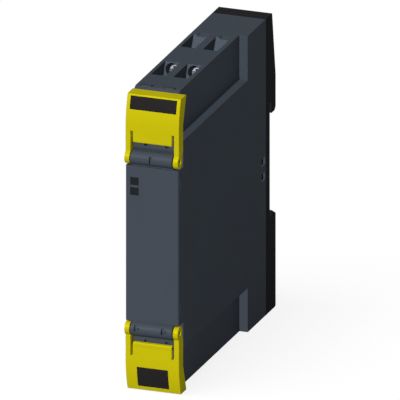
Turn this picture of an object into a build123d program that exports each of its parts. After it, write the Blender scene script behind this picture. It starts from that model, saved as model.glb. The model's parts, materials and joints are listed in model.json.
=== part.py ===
from build123d import *
from math import cos, radians, sin, sqrt, tan
import os

os.makedirs("parts", exist_ok=True)

# Interface relay, one module wide, for a 35 mm mounting rail.
# Millimetres. The origin is the middle of the rail seat, +X is right, +Y points to the rail, +Z is up.

# Overall sizes
width = 17.5
height = 97.0
seat_depth = 81.8  # front panel face to rail seat
foot_depth = 5.3  # rail base behind the seat
wall = 1.2
gap = 0.3  # between pieces that move past each other
snug = 0.05  # between pieces that are pushed into each other

half = width / 2
top = height / 2
front = -seat_depth
inner_half = half - wall


def depth(distance):
    """Y of a point that lies this far behind the front panel's face."""
    return front + distance


# Housing
block_height = 14.5  # of a terminal block, above the middle part
shoulder = top - block_height
tower_front = 62.0  # where the full-height rear part begins
base_plate = 3.5  # how far the black base lies in front of the rail seat
base_front = seat_depth - base_plate
window_width = 3.3
window_height = 2.6
window_centre = 2.5
window_room = 0.65  # between a window and the black base
window_depth = base_front - window_room - window_width / 2

# Hinges of the flaps
hinge_depth = 0.95
hinge_drop = 5.95  # below the shoulder
hinge_height = shoulder - hinge_drop
barrel_radius = 2.25
knuckle_radius = 2.15
knuckle_room = 0.5  # between a knuckle and the front panel's end
trunnion_radius = 0.8
trunnion_clearance = 0.07
trunnion_end = 1.0  # how far a trunnion stays inside the flap's side
arm_width = 1.6
web_depth = 0.4  # front of the web between panel and barrel
web_drop = 1.0  # how far the web reaches down behind the panel's end
groove_depth = 2.8  # floor of the groove behind a barrel
groove_start = 0.8  # above the hinge line
groove_room = 2.0  # from the groove's end to the flap's edge

# Front panel
panel_half = hinge_height - knuckle_radius - knuckle_room
panel_thickness = 1.45
panel_edge = 0.35
slit_height = 3.9
slit_centre = panel_half - 4.65
slit_width = 0.9
slit_fall = 0.85  # into the panel's right edge
tongue_length = 3.6
tongue_width = 3.2
tongue_root = 0.1  # inside the face plate
lamp_width = 2.75
lamp_height = 2.6
lamp_x = -5.8
lamp_centres = {"upper": panel_half - 5.05, "lower": panel_half - 8.35}
lamp_recess = 0.35
left_tongue_centre = 8.0
web_notches = (-2.6, 4.3)
web_notch_size = (1.1, 2.6, 2.2)
web_notch_drop = 0.2  # its middle below the flap's edge
upper_barrel_slot = -0.2
lower_barrel_slots = (-5.2, 3.7)
lower_slot_rise = 0.9  # above the lower hinge line
barrel_slot_size = (0.85, 1.6, 2.6)
barrel_pit_shift = (1.15, 0.5)  # from a slot's X and the hinge line
barrel_pit_size = (0.55, 0.7, 0.9)

# Flaps
flap_top = top - 0.2
flap_edge = shoulder - 1.0  # the panel's edge next to the hinge
flap_thickness = 1.3
lean = 1.85
lean_start = shoulder + 4.0
flap_edge_round = 0.5
slot_width = 0.8
slot_end = shoulder + 2.8
side_depth = 3.75
side_step = 0.8  # where the side wall widens, above the knuckle
flare_start = shoulder + 5.5
rim_depth = 6.5
rim_inset = 0.2  # of the side walls behind the rim
rim_thickness = 1.0
marker_thickness = 0.5
marker_proud = 0.05
marker_pull = 1.0  # how far the tool that cuts a marker's pocket stands out
upper_marker_size = (15.2, 4.1)
upper_marker_height = top - 2.8
lower_marker_size = (10.2, 6.6)
lower_marker_height = top - 4.8

# Terminal blocks
block_right = 6.0
pole_pitch = 7.3
pole_left = -5.18
recess_width = 4.7
recess_start = 19.8
recess_end = 32.4
recess_fall = 4.2
terminal_tilt = 23.0
bore_radius = 1.9
bore_rim = 0.35
bore_length = 5.3
funnel_start = 46.3
funnel_end = 58.0
funnel_lean = 29.0
funnel_fall = 4.1
throat_front = 2.4  # from the chamber to the throat's edges, across the screw axis
throat_back = 3.2
ramp_start = 57.0
ramp_end = 60.6
ramp_fall = 0.45
ramp_inset = 1.25
catch_width = 4.0  # pocket with the ridge that a catch of the flap snaps over
catch_start = 9.2
catch_end = 11.7
catch_fall = 1.8
ridge_start = 9.5
ridge_edge = (10.1, 10.5)
ridge_fall = 0.35
ridge_end_gap = 0.8  # between the ridge's right end and the pocket's
bevel_depth = 9.0
bevel_front = 7.6
bevel_fall = 0.7
nose_fall = 1.9  # where the front begins to lean back, below the top

# Clamps
head_radius = 1.75
head_height = 2.0
head_sunk = 3.0
head_chamfer = 0.3
shank_radius = 1.25
thread_clearance = 0.07
drive_width = 0.6
drive_depth = 0.9
bar_seat = 15.9  # along the screw axis, from the bore's mouth
bar_thickness = 0.9
bar_width = 3.2
wire_room = 3.65
bar_reach = 0.7  # of the bar's end past the chamber
bar_bend = 1.1
cage_width = 5.0
cage_length = 4.4
cage_side = 0.7
cage_floor = 0.9
cage_roof = 2.2
clamp_travel = 2.25
bar_run = 0.75  # height of the current bar's level run above the shoulder
blade_end = 66.5

# Contacts behind the blocks
socket_front = 64.0
socket_back = 68.0
leaf = 0.4
socket_width = 3.6
tail_drops = {"left": 1.6, "right": 4.6}  # below the board's upper edge
tail_arm = 2.0

# Circuit board
board_front = 7.6
board_room = 5.3  # between the board and the black base
board_back = base_front - board_room
board_thickness = 1.6
board_face = -5.7  # its component side
board_edge_gap = 0.25
board_half = shoulder - wall - board_edge_gap

# Pieces on the circuit board
pin_width = 0.7  # flat leads
pin_room = 0.1
lamp_body = (1.6, 1.8, 2.0)
lamp_gap = 0.3
guide_flange = 0.8
guide_lip = 0.4
capacitor_radius = 4.0
capacitor_length = 11.0
capacitor_bead = 0.5
capacitor_pitch = 3.5
capacitor_at = (57.0, 14.0)
filter_size = (9.0, 5.5, 13.0)
filter_edge = 0.3
filter_pitch = 7.5
filter_at = (57.0, -14.0)
rectifier_size = (6.6, 3.4, 8.6)
rectifier_corner = 1.0
rectifier_pitch = 5.0
rectifier_room = 12.55  # from its middle to the board's end
rectifier_at = (24.0, rectifier_room - board_half)
varistor_radius = 3.6
varistor_thickness = 3.4
varistor_pitch = 5.0
varistor_room = 12.55
varistor_at = (24.0, board_half - varistor_room)
resistor_radius = 1.1
resistor_length = 6.4
resistor_pitch = 10.0
resistor_at = {"upper": (17.0, 7.0), "lower": (17.0, -7.0)}
stand_off = 0.3

# Plug-in relay on the board: length along Z, height along X
relay_depth = 38.0
relay_length = 28.5
relay_width = 10.1
relay_height = 12.0
relay_wall = 0.6
relay_corner = 0.6
relay_floor = 1.4
relay_pin_rows = (-2.5, 2.5)
core_height = 6.2
core_radius = 1.4
pole_radius = 2.9
yoke_thickness = 1.0
yoke_width = 7.0
yoke_start = 2.4
contact_room = 11.5  # from the yoke to the relay's end
yoke_end = relay_length - contact_room
yoke_top = 10.0
bobbin_flange = 0.8
bobbin_width = 8.2
pole_gap = 0.4  # between the bobbin and the core's pole face
bobbin_end = yoke_end - bobbin_flange - pole_gap
bobbin_tube = 0.45
winding_radius = 3.5
air_gap = 0.65
armature_thickness = 1.0
armature_tip = 10.0
armature_width = 6.6
pivot_height = 1.7
pivot_thickness = 0.8
pivot_gap = 0.2
card_size = (1.0, 3.0)
card_drop = 0.5  # how far the card reaches down over the armature's tip
card_slot = 0.65  # height of the slots in its underside
card_play = 0.12
spring_room = 6.5  # from the contact spring to the relay's end
spring_at = relay_length - spring_room
card_lap = 0.1  # how far the card reaches back over the yoke
card_head = 1.6  # how far it reaches past the contact spring
card_ends = (yoke_end - card_lap, spring_at + card_head)
coil_pin = 3.0
contact_pin_lead = 1.5  # from the contact pins to the contact spring
end_pin_room = 2.5
relay_pin_places = (coil_pin, spring_at - contact_pin_lead, relay_length - end_pin_room)
contact_strip = 0.25
contact_width = 3.6
contact_height = 8.0
contact_radius = 1.1
contact_thickness = 0.4
contact_stroke = 0.6
contact_touch = 0.03

# Rail base
rail_height = 35.0
rail_thickness = 1.0
lip_upper = 16.05
lip_lower = 15.75
lip_slope = 2.1  # rise of the lower lip's slanted face
hook_thickness = 1.6  # from the seat to the lips
hook_play = 0.2  # of the rail in the lower hook
hook_front = 0.15  # running gap between the seat plane and the slider
rail_play = 2.3  # how far the rail can be pushed up against the slider
slant_depth = 2.2  # depth of the top edge behind the seat
slant_end = 27.55
lip_round = 1.5
heel_cut = 0.5  # bevel at the bottom of the lower foot
plug_length = 4.8
lug_lead = 0.2  # room in front of a snap lug
lug_front_rise = 0.1  # how far its thin end enters the window
lug_fall = 0.65  # how far its thick end stays under the housing's side
slider_start = 0.1  # above the rail's upper edge
slider_width = 7.4
slider_depth = 2.6
slider_height = 5.4
slider_bevel = 1.2
wing_width = 0.8
wing_height = 2.0
wing_drop = 0.8  # below the slider's top
pocket_top = 30.0
spring_strip = 0.3
spring_width = 1.8
spring_reach = 2.6
spring_bends = 4
spring_bend_radius = 0.45

tilt = radians(terminal_tilt)
poles = {"left": pole_left, "right": pole_left + pole_pitch}
nose_front = side_depth + gap
arm_inner = half - arm_width
carrier_half = arm_inner - gap
bar_line = shoulder + bar_run

# Housing: a tube open to the front and to the back, with closed shoulders behind the flaps
with BuildPart() as housing:
    with BuildSketch(Plane.YZ):
        with BuildLine():
            Polyline(
                (depth(panel_thickness), 0),
                (depth(panel_thickness), panel_half),
                (depth(nose_front), panel_half),
                (depth(nose_front), shoulder),
                (depth(tower_front), shoulder),
                (depth(tower_front), top),
                (depth(base_front), top),
                (depth(base_front), 0),
                close=True,
            )
        make_face()
        mirror(about=Plane.XZ)
    extrude(amount=half, both=True)
    with BuildSketch(Plane.YZ):
        with BuildLine():
            Polyline(
                (depth(0), 0),
                (depth(0), panel_half - wall),
                (depth(nose_front + wall), panel_half - wall),
                (depth(nose_front + wall), shoulder - wall),
                (depth(tower_front + wall), shoulder - wall),
                (depth(tower_front + wall), top - wall),
                (depth(base_front + wall), top - wall),
                (depth(base_front + wall), 0),
                close=True,
            )
        make_face()
        mirror(about=Plane.XZ)
    extrude(amount=inner_half, both=True, mode=Mode.SUBTRACT)
    # windows for the snap lugs of the base
    with Locations(
        (0, depth(window_depth), window_centre), (0, depth(window_depth), -window_centre)
    ):
        Box(width, window_width, window_height, mode=Mode.SUBTRACT)
    # slots that the blades of the terminal blocks pass through
    for side in (1, -1):
        for pole_x in poles.values():
            with Locations((pole_x, depth(tower_front + wall / 2), side * bar_line)):
                Box(bar_width + 2 * gap, 2 * wall, bar_thickness + 2 * gap, mode=Mode.SUBTRACT)
        # rib that guides the circuit board
        with Locations((board_face + snug, depth(board_front), side * (shoulder - wall))):
            Box(
                wall,
                tower_front - board_front,
                2 * wall,
                align=(Align.MIN, Align.MIN, Align.CENTER),
            )
housing.part.label = "housing"
export_step(housing.part, "parts/housing.step")


def terminal_plane(pole_x, along=0.0):
    """Plane across a terminal's screw axis, its z axis pointing out of the block."""
    mouth = recess_end - sin(tilt) * (bore_rim + bore_radius)
    height = top - cos(tilt) * (bore_rim + bore_radius)
    origin = (
        pole_x,
        depth(mouth + along * cos(tilt)),
        height - along * sin(tilt),
    )
    return Plane(origin=origin, x_dir=(1, 0, 0), z_dir=(0, -cos(tilt), sin(tilt)))


def terminal_point(across, along):
    """The same frame seen from the side: a point's Y and Z."""
    spot = terminal_plane(0, along).from_local_coords((0, across, 0))
    return spot.Y, spot.Z


# places along the screw axis
shank_end = bar_seat - snug
cage_top = bar_seat - gap - cage_roof
floor_top = bar_seat + bar_thickness + wire_room
cage_end = floor_top + cage_floor
chamber_start = cage_top - clamp_travel - gap
chamber_end = cage_end + gap
chamber_half = cage_length / 2 + gap
chamber_width = cage_width + 2 * gap
bar_middle = bar_seat + bar_thickness / 2
bar_tip = chamber_half + bar_reach


def bar_path():
    """Side view of a current bar: through the cage, down, and level to the back."""
    start = terminal_point(bar_tip, bar_middle)
    turn_across = -(start[1] - bar_line) / cos(tilt) + bar_tip
    turn = terminal_point(turn_across, bar_middle)
    return FilletPolyline(start, turn, (depth(blade_end), bar_line), radius=bar_bend)


# Upper terminal block, moulded with its recesses, funnels and clamp chambers
with BuildPart() as upper_terminal_block:
    with BuildSketch(Plane.YZ.offset(-half)):
        with BuildLine():
            Polyline(
                (depth(nose_front), shoulder + snug),
                (depth(nose_front), flare_start),
                (depth(rim_depth + gap), top - nose_fall),
                (depth(bevel_front), top - bevel_fall),
                (depth(bevel_depth), top),
                (depth(tower_front - snug), top),
                (depth(tower_front - snug), shoulder + snug),
                close=True,
            )
        make_face()
    extrude(amount=half + block_right)
    for pole_x in poles.values():
        # wedge-shaped screw recess
        with BuildSketch(Plane.YZ.offset(pole_x - recess_width / 2)):
            with BuildLine():
                Polyline(
                    (depth(recess_start), top),
                    (depth(recess_end), top),
                    (depth(recess_end - recess_fall * tan(tilt)), top - recess_fall),
                    close=True,
                )
            make_face()
        extrude(amount=recess_width, mode=Mode.SUBTRACT)
        with BuildSketch(terminal_plane(pole_x)):
            Circle(bore_radius)
        extrude(amount=-bore_length, mode=Mode.SUBTRACT)
        with BuildSketch(terminal_plane(pole_x)):
            Circle(shank_radius + gap)
        extrude(amount=-(chamber_start + snug), mode=Mode.SUBTRACT)
        with BuildSketch(terminal_plane(pole_x, chamber_start)):
            Rectangle(chamber_width, 2 * chamber_half)
        extrude(amount=-(chamber_end - chamber_start), mode=Mode.SUBTRACT)
        # wire funnel, its throat and the shallow ramp behind it
        with BuildSketch(Plane.YZ.offset(pole_x - recess_width / 2)):
            with BuildLine():
                Polyline(
                    (depth(funnel_start), top),
                    (depth(funnel_end), top),
                    (depth(funnel_end - funnel_fall * tan(radians(funnel_lean))), top - funnel_fall),
                    terminal_point(chamber_half + throat_front, floor_top + snug),
                    terminal_point(chamber_half - snug, floor_top + snug),
                    terminal_point(chamber_half - snug, bar_seat + bar_thickness + snug),
                    terminal_point(chamber_half + throat_back, bar_seat + bar_thickness + snug),
                    close=True,
                )
            make_face()
        extrude(amount=recess_width, mode=Mode.SUBTRACT)
        with BuildSketch(Plane.YZ.offset(pole_x - recess_width / 2 + ramp_inset)):
            with BuildLine():
                Polyline(
                    (depth(ramp_start), top),
                    (depth(ramp_start), top - ramp_fall),
                    (depth(funnel_end), top - ramp_fall),
                    (depth(ramp_end), top),
                    close=True,
                )
            make_face()
        extrude(amount=recess_width - ramp_inset, mode=Mode.SUBTRACT)
        # slot for the current bar and the groove of its level run
        with BuildSketch(Plane.YZ.offset(pole_x - bar_width / 2 - snug)):
            with BuildLine():
                bar_path()
            trace(line_width=bar_thickness + 4 * snug)
        extrude(amount=bar_width + 2 * snug, mode=Mode.SUBTRACT)
        # catch pocket with a slanted ridge in it
        with BuildSketch(Plane.YZ.offset(pole_x - catch_width / 2)):
            with BuildLine():
                Polyline(
                    (depth(catch_start), top),
                    (depth(catch_start), top - catch_fall),
                    (depth(ridge_start), top - catch_fall),
                    (depth(ridge_edge[0]), top - ridge_fall),
                    (depth(ridge_edge[1]), top - ridge_fall),
                    (depth(ridge_edge[1]), top - catch_fall),
                    (depth(catch_end), top - catch_fall),
                    (depth(catch_end), top),
                    close=True,
                )
            make_face()
        extrude(amount=catch_width, mode=Mode.SUBTRACT)
        with Locations((pole_x + catch_width / 2, depth(catch_start), top - catch_fall)):
            Box(
                ridge_end_gap,
                catch_end - catch_start,
                catch_fall,
                align=(Align.MAX, Align.MIN, Align.MIN),
                mode=Mode.SUBTRACT,
            )
upper_terminal_block.part.label = "upper_terminal_block"
export_step(upper_terminal_block.part, "parts/upper_terminal_block.step")

with BuildPart() as lower_terminal_block:
    mirror(upper_terminal_block.part, about=Plane.XY)
lower_terminal_block.part.label = "lower_terminal_block"
export_step(lower_terminal_block.part, "parts/lower_terminal_block.step")

# Four terminals: screw, cage and current bar for each pole of both blocks
for pole, pole_x in poles.items():
    with BuildPart() as screw:
        with BuildSketch(terminal_plane(pole_x, head_sunk)):
            Circle(head_radius)
        extrude(amount=-head_height)
        chamfer(screw.edges().filter_by(GeomType.CIRCLE).sort_by(Axis.Z)[-1], head_chamfer)
        with BuildSketch(terminal_plane(pole_x, head_sunk)):
            Circle(shank_radius)
        extrude(amount=-(shank_end - head_sunk))
        with BuildSketch(terminal_plane(pole_x, head_sunk)):
            Rectangle(3 * head_radius, drive_width)
            Rectangle(drive_width, head_radius)
        extrude(amount=-drive_depth, mode=Mode.SUBTRACT)

    with BuildPart() as cage:
        with BuildSketch(terminal_plane(pole_x, cage_top)):
            Rectangle(cage_width, cage_length)
        extrude(amount=-(cage_end - cage_top))
        with BuildSketch(terminal_plane(pole_x, cage_top + cage_roof)):
            Rectangle(cage_width - 2 * cage_side, 2 * cage_length)
        extrude(amount=-(floor_top - cage_top - cage_roof), mode=Mode.SUBTRACT)
        with BuildSketch(terminal_plane(pole_x, cage_top)):
            Circle(shank_radius + thread_clearance)
        extrude(amount=-cage_roof, mode=Mode.SUBTRACT)

    with BuildPart() as bar:
        with BuildSketch(Plane.YZ.offset(pole_x - bar_width / 2)):
            with BuildLine():
                bar_path()
            trace(line_width=bar_thickness)
        extrude(amount=bar_width)

    # spring contact that takes the blade and carries it to the circuit board
    tail_low = board_half - tail_drops[pole]
    tail_x = max(pole_x, board_face + tail_arm / 2)
    with BuildPart() as socket:
        for leaf_side in (1, -1):
            leaf_middle = bar_line + leaf_side * (bar_thickness + leaf) / 2
            with Locations((pole_x, depth((socket_front + socket_back) / 2), leaf_middle)):
                Box(socket_width, socket_back - socket_front, leaf)
        with BuildSketch(Plane.XZ.offset(-depth(socket_back))):
            with Locations((tail_x, (tail_low + bar_line) / 2)):
                Rectangle(tail_arm, bar_line - tail_low)
            with Locations((pole_x, bar_line)):
                Rectangle(socket_width, bar_thickness + 2 * leaf)
            with Locations((board_face, tail_low)):
                Rectangle(
                    tail_x + tail_arm / 2 - board_face, tail_arm, align=(Align.MIN, Align.MIN)
                )
        extrude(amount=-leaf)

    for side, label in ((1, "upper"), (-1, "lower")):
        for piece, kind in ((screw, "screw"), (cage, "cage"), (bar, "bar"), (socket, "socket")):
            with BuildPart() as fitted:
                if side > 0:
                    add(piece.part)
                else:
                    mirror(piece.part, about=Plane.XY)
            fitted.part.label = f"{label}_{pole}_{kind}"
            export_step(fitted.part, f"parts/{label}_{pole}_{kind}.step")

# Front panel: face plate, a hinge carrier above and below it, and the tongues that snap in
with BuildPart() as front_panel:
    with BuildSketch(Plane.XZ.offset(-depth(0))):
        Rectangle(width, 2 * panel_half)
    extrude(amount=-(panel_thickness - snug))
    chamfer(front_panel.edges().filter_by(Axis.Z).group_by(Axis.Y)[0], panel_edge)
    for side in (1, -1):
        with BuildSketch(Plane.YZ.offset(-carrier_half)):
            with BuildLine():
                Polyline(
                    (depth(web_depth), side * (panel_half - web_drop)),
                    (depth(web_depth), side * hinge_height),
                    (depth(groove_depth), side * (hinge_height + groove_start)),
                    (depth(groove_depth), side * (flap_edge - groove_room)),
                    (depth(flap_thickness + gap), side * (flap_edge - groove_room)),
                    (depth(flap_thickness + gap), side * (shoulder - snug)),
                    (depth(nose_front - snug), side * (shoulder - snug)),
                    (depth(nose_front - snug), side * (panel_half + snug)),
                    (depth(panel_thickness - snug), side * (panel_half + snug)),
                    (depth(panel_thickness - snug), side * (panel_half - web_drop)),
                    close=True,
                )
            make_face()
            with Locations((depth(hinge_depth), side * hinge_height)):
                Circle(barrel_radius)
        extrude(amount=2 * carrier_half)
        with Locations(
            (0, depth(nose_front / 2 + panel_thickness / 2), side * (panel_half - 1.5 * wall - snug))
        ):
            Box(2 * carrier_half, nose_front - panel_thickness + 2 * snug, wall)
        # trunnions that the flap's knuckles turn on
        with BuildSketch(Plane.YZ.offset(-half + trunnion_end)):
            with Locations((depth(hinge_depth), side * hinge_height)):
                Circle(trunnion_radius)
        extrude(amount=width - 2 * trunnion_end)
        # notches in the web behind the barrel
        for web_x in web_notches:
            with Locations((web_x, depth(flap_thickness + gap), side * (flap_edge - web_notch_drop))):
                Box(*web_notch_size, mode=Mode.SUBTRACT)
    # one grip slot in the upper barrel, two in the lower one with a small pit beside each
    barrel_face = depth(hinge_depth - barrel_radius)
    with Locations((upper_barrel_slot, barrel_face, hinge_height)):
        Box(*barrel_slot_size, mode=Mode.SUBTRACT)
    for slot_x in lower_barrel_slots:
        with Locations((slot_x, barrel_face, lower_slot_rise - hinge_height)):
            Box(*barrel_slot_size, mode=Mode.SUBTRACT)
        with Locations((slot_x + barrel_pit_shift[0], barrel_face, barrel_pit_shift[1] - hinge_height)):
            Box(*barrel_pit_size, mode=Mode.SUBTRACT)
    # tongues with snap lugs, and the slits in the panel's rear edge beside them
    for side in (1, -1):
        for across, tongue_z in ((1, side * slit_centre), (-1, side * left_tongue_centre)):
            tongue_x = across * (inner_half - snug - wall / 2)
            with Locations((tongue_x, depth(panel_thickness - tongue_root), tongue_z)):
                Box(
                    wall,
                    tongue_length + tongue_root,
                    tongue_width,
                    align=(Align.CENTER, Align.MIN, Align.CENTER),
                )
        with Locations((half, depth(panel_thickness), side * slit_centre)):
            Box(2 * slit_fall, slit_width, slit_height, mode=Mode.SUBTRACT)
    for lamp_z in lamp_centres.values():
        with Locations((lamp_x, depth(0), lamp_z)):
            Box(lamp_width, 4 * panel_thickness, lamp_height, mode=Mode.SUBTRACT)
front_panel.part.label = "front_panel"
export_step(front_panel.part, "parts/front_panel.step")


def lean_point(height, inset=0.0):
    """Y of the flap's face at this height, or of a surface that lies further in."""
    radius = (lean**2 + (flap_top - lean_start) ** 2) / (2 * lean)
    rise = max(height - lean_start, 0)
    return depth(radius - sqrt((radius - inset) ** 2 - rise**2)), height


def lean_curve(low, high, inset=0.0):
    """The flap's curved face seen from the side, between two heights."""
    return ThreePointArc(
        lean_point(low, inset), lean_point((low + high) / 2, inset), lean_point(high, inset)
    )


# Flap: one moulding of face, rim, two side walls and the knuckles on their arms
rim_low = flap_top - rim_thickness
knuckle_tangent = (
    depth(hinge_depth + knuckle_radius * cos(radians(30))),
    hinge_height + knuckle_radius * sin(radians(30)),
)
with BuildPart() as flap_moulding:
    with BuildSketch(Plane.YZ.offset(-half)):
        with BuildLine():
            Line((depth(0), flap_edge), (depth(0), lean_start))
            lean_curve(lean_start, flap_top)
            Polyline(
                lean_point(flap_top),
                (depth(rim_depth), flap_top),
                (depth(rim_depth), rim_low),
                lean_point(rim_low, flap_thickness),
            )
            lean_curve(rim_low, lean_start, flap_thickness)
            Polyline(
                lean_point(lean_start, flap_thickness),
                (depth(flap_thickness), flap_edge),
                (depth(0), flap_edge),
            )
        make_face()
    extrude(amount=width)
    lower_edges = flap_moulding.edges().filter_by(Axis.X).group_by(Axis.Z)[0]
    fillet(lower_edges.sort_by(Axis.Y)[0], flap_edge_round)
    for side in (1, -1):
        with BuildSketch(Plane.YZ.offset(arm_inner if side > 0 else -half)):
            with BuildLine():
                Line((depth(0), hinge_height), (depth(0), lean_start))
                lean_curve(lean_start, flap_top)
                Polyline(
                    lean_point(flap_top),
                    (depth(rim_depth - rim_inset), flap_top),
                    (depth(rim_depth - rim_inset), rim_low),
                    (depth(side_depth), flare_start),
                    (depth(side_depth), hinge_height + knuckle_radius + side_step),
                    knuckle_tangent,
                    (depth(hinge_depth), hinge_height),
                    (depth(0), hinge_height),
                )
            make_face()
            with Locations((depth(hinge_depth), hinge_height)):
                Circle(knuckle_radius)
                Circle(trunnion_radius + trunnion_clearance, mode=Mode.SUBTRACT)
        extrude(amount=arm_width)
        # slot that lets the arm spring outwards when the flap is snapped on
        with Locations((side * (arm_inner - slot_width / 2), depth(0), slot_end)):
            Box(
                slot_width,
                4 * flap_thickness,
                slot_end - hinge_height,
                align=(Align.CENTER, Align.CENTER, Align.MAX),
                mode=Mode.SUBTRACT,
            )

for side, label, size, height in (
    (1, "upper", upper_marker_size, upper_marker_height),
    (-1, "lower", lower_marker_size, lower_marker_height),
):
    # plain dark plate let into the face of the flap
    for piece, inset, room in (("pocket", marker_thickness, 0), ("marker", marker_thickness, snug)):
        with BuildPart() as plate:
            low = height - size[1] / 2 + room
            high = height + size[1] / 2 - room
            outer = -marker_pull if piece == "pocket" else -marker_proud
            with BuildSketch(Plane.YZ.offset(-size[0] / 2 + room)):
                with BuildLine():
                    lean_curve(low, high, outer)
                    Line(lean_point(high, outer), lean_point(high, inset))
                    lean_curve(high, low, inset)
                    Line(lean_point(low, inset), lean_point(low, outer))
                make_face()
            extrude(amount=size[0] - 2 * room)
        if piece == "pocket":
            pocket = plate.part
        else:
            marker = plate.part
    with BuildPart() as flap:
        add(flap_moulding.part)
        add(pocket, mode=Mode.SUBTRACT)
    for body, kind in ((flap.part, "flap"), (marker, "marker")):
        with BuildPart() as fitted:
            if side > 0:
                add(body)
            else:
                mirror(body, about=Plane.XY)
        fitted.part.label = f"{label}_{kind}"
        export_step(fitted.part, f"parts/{label}_{kind}.step")

# Rail base: black plate and feet around the rail seat, with a plug that fills the housing's rear
slider_low = rail_height / 2 + slider_start
wing_low = slider_low + slider_height - wing_height - wing_drop
ledge = wing_low - snug
pocket_half = slider_width / 2 + gap
pocket_back = hook_front + slider_depth + gap
lug_front = depth(window_depth - window_width / 2 + lug_lead)
lug_back = depth(window_depth + window_width / 2 - snug)
with BuildPart() as rail_base:
    with BuildSketch(Plane.YZ):
        with BuildLine():
            upper_lip_end = (foot_depth - lip_round, lip_upper)
            lip_curve = (foot_depth, lip_upper + lip_round)
            Polyline(
                (depth(base_front) + snug, top),
                (slant_depth, top),
                (foot_depth, slant_end),
                lip_curve,
            )
            RadiusArc(lip_curve, upper_lip_end, lip_round)
            Polyline(
                upper_lip_end,
                (hook_thickness, lip_upper),
                (hook_thickness, rail_height / 2 + rail_play),
                (0, rail_height / 2 + rail_play),
                (0, -rail_height / 2 - hook_play),
                (hook_thickness, -rail_height / 2 - hook_play),
                (hook_thickness, -lip_lower),
                (foot_depth, -lip_lower - lip_slope),
                (foot_depth, -top + heel_cut),
                (foot_depth - heel_cut, -top),
                (depth(base_front) + snug, -top),
                (depth(base_front) + snug, top),
            )
        make_face()
    extrude(amount=half, both=True)
    # rim that plugs into the housing
    with BuildSketch(Plane.XZ.offset(-depth(base_front) - snug)):
        Rectangle(2 * (inner_half - snug), 2 * (top - wall - snug))
        Rectangle(2 * (inner_half - snug - wall), 2 * (top - 2 * wall - snug), mode=Mode.SUBTRACT)
    extrude(amount=plug_length)
    # lugs in the housing's windows, each with a slanted back
    for across in (1, -1):
        for lug_z in (window_centre, -window_centre):
            with BuildSketch(Plane.XY.offset(lug_z)):
                with BuildLine():
                    Polyline(
                        (across * (inner_half - wall / 2), lug_front),
                        (across * (inner_half + lug_front_rise), lug_front),
                        (across * (half - lug_fall), lug_back),
                        (across * (inner_half - wall / 2), lug_back),
                        close=True,
                    )
                make_face()
            extrude(amount=window_height / 2 - 2 * snug, both=True)
    # pocket of the spring-loaded slider
    with Locations((0, hook_front, ledge)):
        Box(
            2 * (pocket_half + wing_width),
            pocket_back - hook_front,
            pocket_top - ledge,
            align=(Align.CENTER, Align.MIN, Align.MIN),
            mode=Mode.SUBTRACT,
        )
    with Locations((0, hook_front, rail_height / 2)):
        Box(
            2 * pocket_half,
            pocket_back - hook_front,
            pocket_top - rail_height / 2,
            align=(Align.CENTER, Align.MIN, Align.MIN),
            mode=Mode.SUBTRACT,
        )
rail_base.part.label = "rail_base"
export_step(rail_base.part, "parts/rail_base.step")

with BuildPart() as rail_slider:
    with BuildSketch(Plane.XZ.offset(-hook_front - snug)):
        with Locations((0, slider_low)):
            Rectangle(slider_width, slider_height, align=(Align.CENTER, Align.MIN))
        with Locations((0, wing_low)):
            Rectangle(slider_width + 2 * wing_width, wing_height, align=(Align.CENTER, Align.MIN))
    extrude(amount=-slider_depth)
    lead_edge = rail_slider.edges().filter_by(Axis.X).group_by(Axis.Z)[0].sort_by(Axis.Y)[-1]
    chamfer(lead_edge, slider_bevel)
rail_slider.part.label = "rail_slider"
export_step(rail_slider.part, "parts/rail_slider.step")

# Meander spring of flat strip, between the slider and the top of its pocket
spring_low = slider_low + slider_height + snug + spring_strip / 2
spring_high = pocket_top - snug - spring_strip / 2
spring_step = (spring_high - spring_low) / spring_bends
with BuildPart() as slider_spring:
    with BuildSketch(Plane.XZ.offset(-hook_front - snug - slider_depth / 2)):
        with BuildLine():
            turns = [(0, spring_low)]
            for bend in range(spring_bends):
                reach = spring_reach if bend % 2 == 0 else -spring_reach
                turns.append((reach, spring_low + bend * spring_step))
                turns.append((reach, spring_low + (bend + 1) * spring_step))
            turns.append((0, spring_high))
            FilletPolyline(*turns, radius=spring_bend_radius)
        trace(line_width=spring_strip)
    extrude(amount=spring_width / 2, both=True)
slider_spring.part.label = "slider_spring"
export_step(slider_spring.part, "parts/slider_spring.step")

# Circuit board, held by the ribs of the housing
relay_x = board_face + stand_off
relay_low = -relay_length / 2
relay_y = depth(relay_depth)
relay_pins = [(relay_y + y, relay_low + z) for y in relay_pin_rows for z in relay_pin_places]


def pin_pair(place, spread):
    """Y and Z of two lead holes, spread along Z about a place on the board."""
    return [(depth(place[0]), place[1] + s * spread / 2) for s in (1, -1)]


board_pins = {
    "capacitor": pin_pair(capacitor_at, capacitor_pitch),
    "filter": pin_pair(filter_at, filter_pitch),
    "rectifier": pin_pair(rectifier_at, rectifier_pitch),
    "varistor": pin_pair(varistor_at, varistor_pitch),
    "upper_resistor": pin_pair(resistor_at["upper"], resistor_pitch),
    "lower_resistor": pin_pair(resistor_at["lower"], resistor_pitch),
    "relay": relay_pins,
}
with BuildPart() as circuit_board:
    with BuildSketch(Plane.YZ.offset(board_face)):
        with Locations((depth(board_front), 0)):
            Rectangle(
                board_back - board_front, 2 * board_half, align=(Align.MIN, Align.CENTER)
            )
        for holes in board_pins.values():
            with Locations(*holes):
                Rectangle(pin_width + 2 * pin_room, pin_width + 2 * pin_room, mode=Mode.SUBTRACT)
    extrude(amount=-board_thickness)
circuit_board.part.label = "circuit_board"
export_step(circuit_board.part, "parts/circuit_board.step")


def lead_pins(name, reach):
    """Leads from a component down through the board, made in the open part."""
    with BuildSketch(Plane.YZ.offset(board_face - board_thickness + snug)) as leads:
        with Locations(*board_pins[name]):
            Rectangle(pin_width, pin_width)
    extrude(leads.sketch, amount=board_thickness + reach)


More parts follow.
